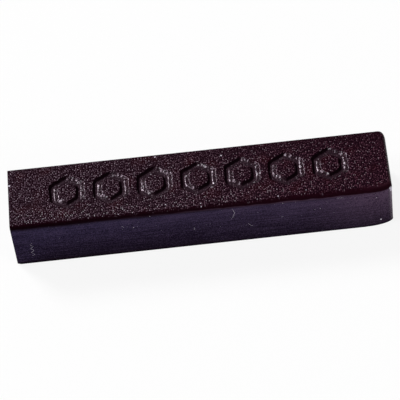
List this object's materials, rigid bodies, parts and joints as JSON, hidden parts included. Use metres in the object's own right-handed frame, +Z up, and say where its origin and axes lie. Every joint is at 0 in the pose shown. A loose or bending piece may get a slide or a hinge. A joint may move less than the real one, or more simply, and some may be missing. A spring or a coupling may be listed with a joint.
{
  "type": "furniture repair wax stick",
  "caption": "Rectangular bar of dark brown repair wax with smooth sides, a grained upper face and a band of pressed honeycomb cells, for filling scratches and chips in furniture.",
  "frame": {"origin": "middle of the flat underside that the stick lies on", "axes": "+X along the stick from its square-cut end to its moulded end, +Y across it from front to back, +Z up through the grained face"},
  "size_m": [0.08, 0.0156, 0.0131],
  "materials": {
    "smooth_wax": "hard dark brown wax, smooth and satin, with a faint cool bloom",
    "grained_wax": "hard dark brown wax with a fine leathery mould grain and small glints"
  },
  "bodies": {
    "root": {"bar_body": "smooth_wax", "grained_face": "grained_wax"}
  },
  "joints": []
}
